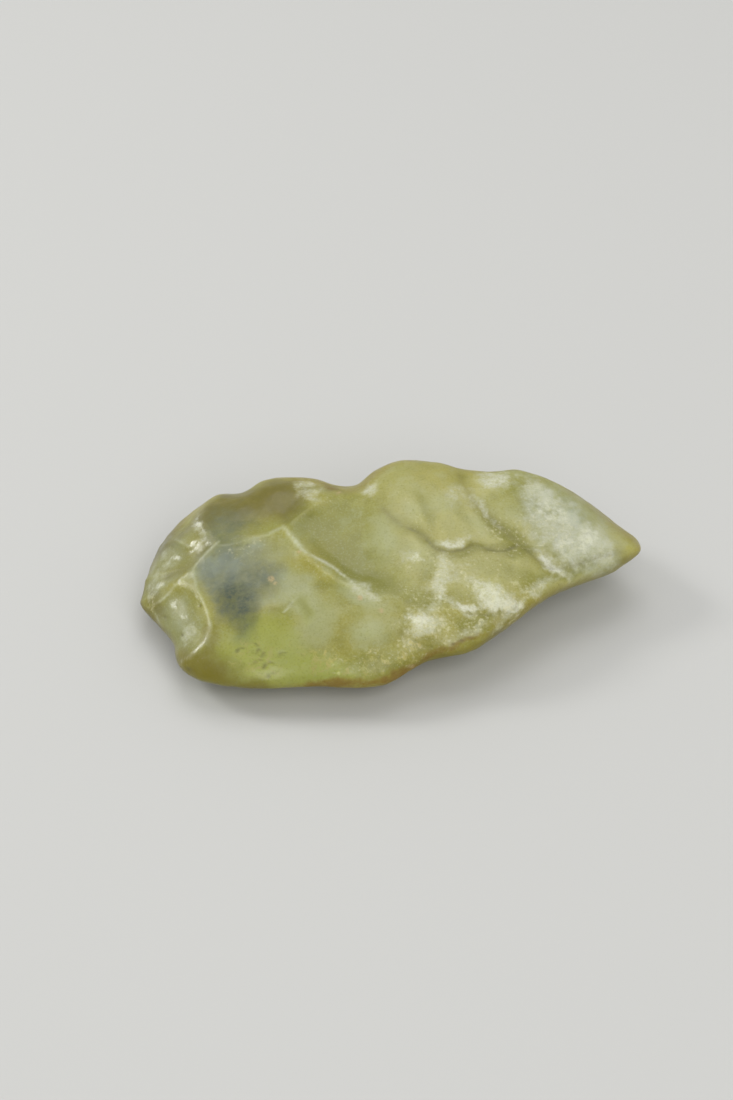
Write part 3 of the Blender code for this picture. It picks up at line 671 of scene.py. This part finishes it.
def all_masks(points, normals):
    """How much of each kind of surface there is at each point, from 0 to 1."""
    places = slope_places(points)
    depth = -OUTLINE_MAP.at(*places.T)
    push = pushes(points)
    facing = normals @ np.array((0, -math.cos(OUTLINE_SLOPE), math.sin(OUTLINE_SLOPE)))
    upper = smooth_step(facing, *UPPER_SPAN)
    whole = upper * smooth_step(noise_at(points, BREAK_SIZE, BREAK_START), *BREAK_SPAN)
    shades = [(SHADE_STRENGTH, SHADE_HALF_WIDTH, line) for _, _, line in CLEFTS]
    masks = {name: upper * patch_strength(places + push, patches) for name, patches in PATCHES.items()}
    masks["crest"] = whole * line_strength(places + push * CREST_WANDER, CRESTS)
    # The dark lines down the clefts, and the wide band beside them, are painted shade.
    masks["cleft"] = whole * line_strength(places + push * CLEFT_WANDER, CLEFTS)
    masks["shade"] = upper * line_strength(places + push * SHADE_WANDER, shades)
    # Pits and crescents get painted shade, darker the deeper they are.
    masks["pit"] = upper * np.clip((pit_depth(places) + crescent_depth(places)) / DEEP_MARK, 0, 1)
    masks["rust"] = upper * rust_strength(places)
    # Round the outline the glass gets a yellower tint, partly a painted glow.
    masks["edge"] = 1 - smooth_step(depth, *EDGE_SPAN)
    masks["rim"] = rim_strength(points, depth)
    masks["upper"] = upper
    return masks


def fine_height(points, masks):
    """How far the fine relief stands out."""
    places = slope_places(points)
    height = np.zeros(len(points))
    for number, (scale, tallest, name) in enumerate(GRAIN):
        strength = masks[name] if name else 1.0
        height += tallest * strength * noise_at(points, scale, GRAIN_START * number)
    height += CREST_HEIGHT * masks["crest"] - CLEFT_DEPTH * masks["cleft"]
    height -= masks["upper"] * (pit_depth(places) + crescent_depth(places))
    height -= dimple_depth(points) * (1 - masks["gloss"])
    height -= (1 - masks["upper"]) * hollow_depth(points)
    return height * smooth_step(points[:, 2], 0.0, RELIEF_FADE)


# ---------------------------------------------------------------- the stone


def stone_mesh():
    """The stone without its fine relief, as a mesh in millimetres, and its points."""
    shape = bmesh.new()
    points = stone_points(ball_directions(shape))
    for vertex, place in zip(shape.verts, points):
        vertex.co = place
    mesh = bpy.data.meshes.new(PIECE)
    shape.to_mesh(mesh)
    shape.free()
    return mesh, points


def vertex_normals(mesh):
    """The direction out of the surface at each point."""
    normals = np.empty(len(mesh.vertices) * 3, np.float32)
    mesh.vertex_normals.foreach_get("vector", normals)
    return normals.reshape(-1, 3).astype(float)


def set_points(mesh, points):
    """Moves the mesh's corners to the points."""
    mesh.vertices.foreach_set("co", points.astype(np.float32).ravel())
    mesh.update()


def add_mask(mesh, name, values):
    """Keeps a mask on the mesh, where the material reads it by name."""
    attribute = mesh.attributes.new(name, "FLOAT", "POINT")
    attribute.data.foreach_set("value", values.astype(np.float32))


def build_stone():
    """Makes the stone in the CAD solid's place, and gives how far it was moved there, in millimetres."""
    mesh, points = stone_mesh()
    normals = vertex_normals(mesh)
    masks = all_masks(points, normals)
    points = points + normals * fine_height(points, masks)[:, None]
    low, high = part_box(NODE)
    shift = np.array((low + high) / 2) / MM - (points.min(0) + points.max(0)) / 2
    shift[2] = low.z / MM - points[:, 2].min()
    set_points(mesh, (points + shift) * MM)
    for name, values in masks.items():
        add_mask(mesh, name, values)
    mesh.shade_smooth()
    mesh.materials.append(glass_material())
    stone = bpy.data.objects.new(PIECE, mesh)
    bpy.context.scene.collection.objects.link(stone)
    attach(stone, BODY)
    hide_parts(NODE)
    return shift


# ---------------------------------------------------------------- material


def linear(red, green, blue):
    """A colour given as display values from 0 to 255, as the light values that shaders take."""
    shares = [c / 255 for c in (red, green, blue)]
    return (*(c / 12.92 if c <= 0.04045 else ((c + 0.055) / 1.055)**2.4 for c in shares), 1.0)


GLASS = linear(149, 148, 70)
GLASS_YELLOW = linear(157, 151, 66)
CREAM = linear(185, 181, 122)
OLIVE = linear(122, 122, 30)
MILK = linear(168, 171, 124)
BROWN = linear(106, 97, 4)
SMOKE = linear(64, 77, 68)
HAZE = linear(164, 172, 156)
CLEAR = linear(186, 194, 90)
HONEY = linear(116, 107, 0)
# The yellow of the glass round its edge, strengthened as a painted glow.
EDGE_TINT_AND_GLOW = linear(160, 146, 42)
FROST = linear(186, 187, 164)
# White crust, and painted glints on the chips of the blunt end.
WHITE_CRUST_AND_GLINT = linear(204, 205, 184)
SPECK = linear(208, 204, 170)
CRINKLE = linear(190, 180, 108)
STAIN = linear(116, 82, 4)
# Pale worn frost along the ridges, partly painted highlight.
CREST_FROST_AND_HIGHLIGHT = linear(204, 208, 186)
# Painted shade beside the creases.
SHADE = linear(124, 120, 46)
# Painted shade down the creases.
CLEFT_SHADE = linear(96, 90, 40)
# Painted shade in the pits and crescents.
PIT_SHADE = linear(96, 86, 44)
RUST = linear(186, 166, 122)
ABSORBED = linear(214, 212, 120)

# Each noise: the distance between its swells, its detail, its roughness and its distortion.
NOISES = {
    "broad": (9.0, 3.0, 0.5, 0.0),
    "cloud": (2.6, 5.0, 0.6, 0.0),
    "grain": (0.9, 5.0, 0.7, 0.0),
    "fine": (0.26, 3.0, 0.6, 0.0),
    "curl": (1.2, 1.5, 0.5, 1.0),
    "speck": (0.40, 2.5, 0.55, 0.0),
    "rear_frost": (7.0, 4.0, 0.6, 0.0),
    "rear_stain": (4.0, 3.0, 0.6, 0.0),
}
# Mottle is so much grain and so much cloud.
MOTTLE_GRAIN, MOTTLE_CLOUD = 0.6, 0.4

# How a noise becomes a share: two values of the noise, and the share at the first and at the second.
SHARES = {
    "yellow": (0.38, 0.62, 0.0, 1.0),
    "milk_vein": (0.50, 0.68, 0.0, 0.5),
    "olive_vein": (0.50, 0.34, 0.0, 0.4),
    "pale_grain": (0.50, 0.72, 0.0, 0.35),
    "dark_grain": (0.50, 0.28, 0.0, 0.35),
    "deep": (0.35, 0.65, 0.95, 0.8),
    "haze": (0.3, 0.7, 0.35, 0.85),
    "smoke": (0.36, 0.64, 0.62, 1.0),
    "rear_frost": (0.42, 0.72, 0.0, 0.7),
    "rear_stain": (0.57, 0.72, 0.0, 0.65),
    "granules": (0.34, 0.58, 0.65, 1.0),
    "curl_line": (0.085, 0.0, 0.0, 1.0),
    "curl_break": (0.42, 0.56, 0.0, 1.0),
    "speck": (0.35, 0.65, 0.3, 0.75),
    "rust": (0.3, 0.6, 0.3, 0.9),
    "crest": (0.38, 0.58, 0.45, 1.0),
    "roughness": (0.35, 0.65, 0.29, 0.35),
}
# Ragged patches: how far a noise pushes the mask, how soft their edge is, and the mask's value there.
RAGGED = {
    "shade": (1.0, 1.1, 0.5),
    "frost": (2.6, 0.9, 0.5),
    "white": (2.6, 0.7, 0.5),
    "stain": (1.8, 1.0, 0.5),
    "crinkle": (3.0, 0.8, 0.65),
    "speck": (3.0, 0.9, 0.85),
}
# Where its mask is nothing a ragged patch stays away, whatever the noise, and from this value on it is free.
MASK_START = 0.2

# The even tints inside the glass, from the lowest to the highest: mask, strength and colour. The edge
# tint is partly a painted glow of light through the thin edge, and the olive lying along the creases is
# painted shade.
INNER_TINTS = (
    ("cream", 0.7, CREAM), ("edge", 0.8, EDGE_TINT_AND_GLOW), ("olive", 0.8, OLIVE), ("milk", 0.8, MILK),
    ("clear", 0.8, CLEAR),
)
# How strongly each other layer colours what is under it.
RIM_STRENGTH = 0.9
SHADE_TINT, FROST_TINT, CRINKLE_TINT, WHITE_TINT, SPECK_TINT, STAIN_TINT = 0.35, 0.85, 0.8, 0.9, 0.6, 0.8
CLEFT_TINT, PIT_TINT, CREST_TINT = 0.40, 0.5, 0.9

# Roughness never falls as low as the coat's, and shine comes from the coat alone, because a noise that
# carries the roughness from dull to shiny shows as flecks.
WORN_ROUGHNESS = 0.20
COAT_WEIGHT, COAT_ROUGHNESS = 0.6, 0.12
BUMP_HEIGHT, BUMP_STRENGTH, BUMP_FINE_SHARE = 0.08, 0.6, 0.5
REFRACTION = 1.46
SCATTER_WEIGHT, SCATTER_RADIUS, SCATTER_SCALE = 0.9, (1.0, 0.95, 0.5), 3.2
# How much light goes straight through cloudy glass, what clear glass adds, and how clear the edge is.
CLOUDY_TRANSMISSION, CLEAR_TRANSMISSION, EDGE_CLEARNESS = 0.12, 0.25, 0.6
ABSORPTION_PER_METRE = 90.0


class Nodes:
    """Short calls for making shader nodes and joining them, with the noises that the layers share."""

    def __init__(self, tree):
        self.tree = tree
        self.broad, self.cloud, self.grain, self.fine = map(self.noise, ("broad", "cloud", "grain", "fine"))
        self.mottle = self.math("ADD", self.times(self.grain, MOTTLE_GRAIN),
                                self.times(self.cloud, MOTTLE_CLOUD))

    def put(self, target, value):
        if isinstance(value, bpy.types.NodeSocket):
            self.tree.links.new(value, target)
        elif value is not None:
            target.default_value = value

    def mask(self, name):
        node = self.tree.nodes.new("ShaderNodeAttribute")
        node.attribute_name = name
        return node.outputs["Fac"]

    def noise(self, name):
        """One of the noises, about 0.5."""
        size, detail, roughness, distortion = NOISES[name]
        place = self.tree.nodes.new("ShaderNodeTexCoord")
        node = self.tree.nodes.new("ShaderNodeTexNoise")
        self.put(node.inputs["Vector"], place.outputs["Object"])
        self.put(node.inputs["Scale"], 1 / (size * MM))
        self.put(node.inputs["Detail"], detail)
        self.put(node.inputs["Roughness"], roughness)
        self.put(node.inputs["Distortion"], distortion)
        return node.outputs["Fac"]

    def math(self, operation, a, b=None, c=None):
        node = self.tree.nodes.new("ShaderNodeMath")
        node.operation = operation
        for socket, value in zip(node.inputs, (a, b, c)):
            self.put(socket, value)
        return node.outputs[0]

    def times(self, a, b):
        return self.math("MULTIPLY", a, b)

    def most(self, a, b):
        return self.math("MAXIMUM", a, b)

    def less(self, a, b):
        return self.math("SUBTRACT", a, b)

    def span(self, value, low, high, start=0.0, end=1.0):
        """Goes softly from start, where the value is low, to end, where it is high."""
        node = self.tree.nodes.new("ShaderNodeMapRange")
        node.interpolation_type = "SMOOTHSTEP"
        for name, number in (("Value", value), ("From Min", low), ("From Max", high),
                             ("To Min", start), ("To Max", end)):
            self.put(node.inputs[name], number)
        return node.outputs["Result"]

    def share(self, name, value):
        """The named share that the noise's value stands for."""
        return self.span(value, *SHARES[name])

    def mix(self, share, a, b):
        node = self.tree.nodes.new("ShaderNodeMix")
        node.data_type = "RGBA"
        self.put(node.inputs["Factor"], share)
        self.put(node.inputs["A"], a)
        self.put(node.inputs["B"], b)
        return node.outputs["Result"]

    def ragged(self, name, mask, noise):
        """Where the mask, pushed up and down by the noise, is above the value that its edge has."""
        amount, softness, middle = RAGGED[name]
        pushed = self.math("MULTIPLY_ADD", noise, amount, mask)
        level = middle + amount / 2
        return self.times(self.span(pushed, level - softness / 2, level + softness / 2),
                          self.span(mask, 0.0, MASK_START))


def inner_colour(n):
    """The glass, its veins and grain, and the tints, haze and smoke inside it, with painted glow round the
    edge and painted shade along the creases.
    """
    colour = n.mix(n.share("yellow", n.broad), GLASS, GLASS_YELLOW)
    colour = n.mix(n.share("milk_vein", n.cloud), colour, MILK)
    colour = n.mix(n.share("olive_vein", n.cloud), colour, OLIVE)
    for name, strength, tint in INNER_TINTS:
        colour = n.mix(n.times(n.mask(name), strength), colour, tint)
    colour = n.mix(n.share("pale_grain", n.fine), colour, MILK)
    colour = n.mix(n.share("dark_grain", n.fine), colour, OLIVE)
    colour = n.mix(n.times(n.mask("brown"), n.share("deep", n.mottle)), colour, BROWN)
    colour = n.mix(n.times(n.mask("honey"), n.share("deep", n.mottle)), colour, HONEY)
    colour = n.mix(n.times(n.mask("rim"), RIM_STRENGTH), colour, BROWN)
    colour = n.mix(n.times(n.mask("haze"), n.share("haze", n.cloud)), colour, HAZE)
    colour = n.mix(n.times(n.mask("smoke"), n.share("smoke", n.mottle)), colour, SMOKE)
    # Painted shade on either side of each cleft.
    return n.mix(n.times(n.ragged("shade", n.mask("shade"), n.cloud), SHADE_TINT), colour, SHADE)


def curls(n):
    """Short bent lines, where a noise passes its middle value, broken up by the grain."""
    across = n.math("ABSOLUTE", n.less(n.noise("curl"), 0.5))
    lines = n.times(n.share("curl_line", across), n.share("curl_break", n.grain))
    return n.times(lines, n.ragged("crinkle", n.mask("crinkle"), n.cloud))


def weathered(n, colour):
    """Frosting, curls, white crust, specks and iron stain, and how far they wear the surface. On the chips
    of the blunt end some frost and white patches are painted glints.
    """
    rear = n.less(1.0, n.mask("upper"))
    rear_frost = n.times(n.less(rear, n.mask("rim")), n.share("rear_frost", n.noise("rear_frost")))
    rear_stain = n.times(rear, n.share("rear_stain", n.noise("rear_stain")))
    granules = n.share("granules", n.fine)
    frost = n.ragged("frost", n.most(n.mask("frost"), rear_frost), n.mottle)
    colour = n.mix(n.times(n.times(frost, granules), FROST_TINT), colour, FROST)
    colour = n.mix(n.times(curls(n), CRINKLE_TINT), colour, CRINKLE)
    # White crust, with painted glints on the chips of the blunt end.
    white = n.ragged("white", n.mask("white"), n.mottle)
    colour = n.mix(n.times(n.times(white, granules), WHITE_TINT), colour, WHITE_CRUST_AND_GLINT)
    speck = n.ragged("speck", n.times(n.mask("specks"), n.share("speck", n.cloud)), n.noise("speck"))
    colour = n.mix(n.times(speck, SPECK_TINT), colour, SPECK)
    stain = n.ragged("stain", n.most(n.mask("stain"), rear_stain), n.mottle)
    colour = n.mix(n.times(stain, STAIN_TINT), colour, STAIN)
    return colour, n.most(n.most(frost, white), n.most(stain, speck))


def marked(n, colour):
    """Painted shade in the clefts and pits, rust spots, and pale crests of worn frost and painted highlight.
    """
    colour = n.mix(n.times(n.mask("cleft"), CLEFT_TINT), colour, CLEFT_SHADE)
    colour = n.mix(n.times(n.mask("pit"), PIT_TINT), colour, PIT_SHADE)
    colour = n.mix(n.times(n.mask("rust"), n.share("rust", n.fine)), colour, RUST)
    # The crests are worn frost and painted highlight along the ridges.
    crest = n.times(n.mask("crest"), n.share("crest", n.grain))
    return n.mix(n.times(crest, CREST_TINT), colour, CREST_FROST_AND_HIGHLIGHT)


def add_bump(n, shader):
    """Grain too fine for the mesh."""
    bump = n.tree.nodes.new("ShaderNodeBump")
    n.put(bump.inputs["Distance"], BUMP_HEIGHT * MM)
    n.put(bump.inputs["Strength"], BUMP_STRENGTH)
    n.put(bump.inputs["Height"], n.math("MULTIPLY_ADD", n.fine, BUMP_FINE_SHARE, n.grain))
    n.put(shader.inputs["Normal"], bump.outputs["Normal"])


def add_absorption(n):
    """Light that crosses the glass turns yellow-green."""
    absorb = n.tree.nodes.new("ShaderNodeVolumeAbsorption")
    n.put(absorb.inputs["Color"], ABSORBED)
    n.put(absorb.inputs["Density"], ABSORPTION_PER_METRE)
    n.put(n.tree.nodes["Material Output"].inputs["Volume"], absorb.outputs["Volume"])


def glass_material():
    """Cloudy glass that scatters most of its light, shiny on fresh scars and dull where it is worn."""
    material = bpy.data.materials.new("desert_glass")
    material.use_nodes = True
    shader = material.node_tree.nodes["Principled BSDF"]
    n = Nodes(material.node_tree)
    colour, worn = weathered(n, inner_colour(n))
    fresh = n.less(1.0, worn)
    clear = n.most(n.mask("clear"), n.times(n.mask("edge"), EDGE_CLEARNESS))
    through = n.math("MULTIPLY_ADD", clear, CLEAR_TRANSMISSION, CLOUDY_TRANSMISSION)
    roughness = n.math("MULTIPLY_ADD", worn, WORN_ROUGHNESS, n.share("roughness", n.cloud))
    for name, value in (
        ("Base Color", marked(n, colour)),
        ("Roughness", roughness),
        ("Coat Weight", n.times(n.times(n.mask("gloss"), fresh), COAT_WEIGHT)),
        ("Coat Roughness", COAT_ROUGHNESS),
        ("IOR", REFRACTION),
        ("Subsurface Weight", SCATTER_WEIGHT),
        ("Subsurface Radius", SCATTER_RADIUS),
        ("Subsurface Scale", SCATTER_SCALE * MM),
        ("Transmission Weight", n.times(through, fresh)),
    ):
        n.put(shader.inputs[name], value)
    add_bump(n, shader)
    add_absorption(n)
    return material


# ---------------------------------------------------------------- camera, floor and light

# The lens and the sensor's width are real camera sizes. The camera looks down the slope, from so far,
# at a place on the slope, and sees nothing nearer than CAMERA_CLIP.
LENS, SENSOR = 85.0, 36.0
CAMERA_DISTANCE, CAMERA_CLIP = 311.7, 10.0
CAMERA_AIM = (-2.82, 3.0)

FLOOR_SIZE = 1600.0
FLOOR_COLOUR, FLOOR_ROUGHNESS = linear(190, 190, 187), 0.8

# Each light: its name, azimuth and elevation in degrees, distance and width in metres, and watts.
LIGHTS = (
    ("key", -108, 37, 0.6, 0.16, 1.1),
    ("top", 170, 68, 0.6, 0.40, 0.9),
    ("front", 20, 45, 0.8, 0.60, 2.8),
)
STUDIO_BRIGHTNESS = 0.6


def slope_axes():
    """The directions to the right, up the slope and out of it, towards the front and above."""
    right = Vector((1, 0, 0))
    up = Vector((0, math.sin(OUTLINE_SLOPE), math.cos(OUTLINE_SLOPE)))
    out = Vector((0, -math.cos(OUTLINE_SLOPE), math.sin(OUTLINE_SLOPE)))
    return right, up, out


def add_camera(shift):
    """Looks at the stone, which was moved by shift, from the front and above."""
    right, up, out = slope_axes()
    middle = Vector(shift) + Vector((0, 0, MIDDLE_HEIGHT))
    aim = middle + right * CAMERA_AIM[0] + up * CAMERA_AIM[1]
    data = bpy.data.cameras.new("camera")
    data.lens, data.sensor_width = LENS, SENSOR
    data.clip_start = CAMERA_CLIP * MM
    camera = bpy.data.objects.new("camera", data)
    camera.location = (aim + out * CAMERA_DISTANCE) * MM
    camera.rotation_mode = "QUATERNION"
    camera.rotation_quaternion = (-out).to_track_quat("-Z", "Y")
    bpy.context.scene.collection.objects.link(camera)
    bpy.context.scene.camera = camera


def add_floor():
    """A plain pale floor."""
    mesh = bpy.data.meshes.new("floor")
    half = FLOOR_SIZE / 2 * MM
    corners = [(-half, -half, 0), (half, -half, 0), (half, half, 0), (-half, half, 0)]
    mesh.from_pydata(corners, [], [(0, 1, 2, 3)])
    floor = bpy.data.objects.new("floor", mesh)
    material = bpy.data.materials.new("floor")
    material.use_nodes = True
    shader = material.node_tree.nodes["Principled BSDF"]
    shader.inputs["Base Color"].default_value = FLOOR_COLOUR
    shader.inputs["Roughness"].default_value = FLOOR_ROUGHNESS
    mesh.materials.append(material)
    bpy.context.scene.collection.objects.link(floor)


def add_light(name, azimuth, elevation, distance, size, power):
    """A square soft light that faces the stone. Azimuth 0 is in front and 90 to the right."""
    turn, rise = math.radians(azimuth), math.radians(elevation)
    towards = Vector((math.sin(turn) * math.cos(rise), -math.cos(turn) * math.cos(rise), math.sin(rise)))
    data = bpy.data.lights.new(name, "AREA")
    data.size, data.energy = size, power
    light = bpy.data.objects.new(name, data)
    light.location = towards * distance
    light.rotation_euler = (-towards).to_track_quat("-Z", "Y").to_euler()
    bpy.context.scene.collection.objects.link(light)


def add_lights():
    """An even white studio with three soft lights."""
    world = bpy.data.worlds.new("studio")
    world.use_nodes = True
    background = world.node_tree.nodes["Background"]
    background.inputs["Color"].default_value = (1, 1, 1, 1)
    background.inputs["Strength"].default_value = STUDIO_BRIGHTNESS
    bpy.context.scene.world = world
    for light in LIGHTS:
        add_light(*light)


add_camera(build_stone())
add_floor()
add_lights()
bpy.context.scene.view_settings.view_transform = "Standard"
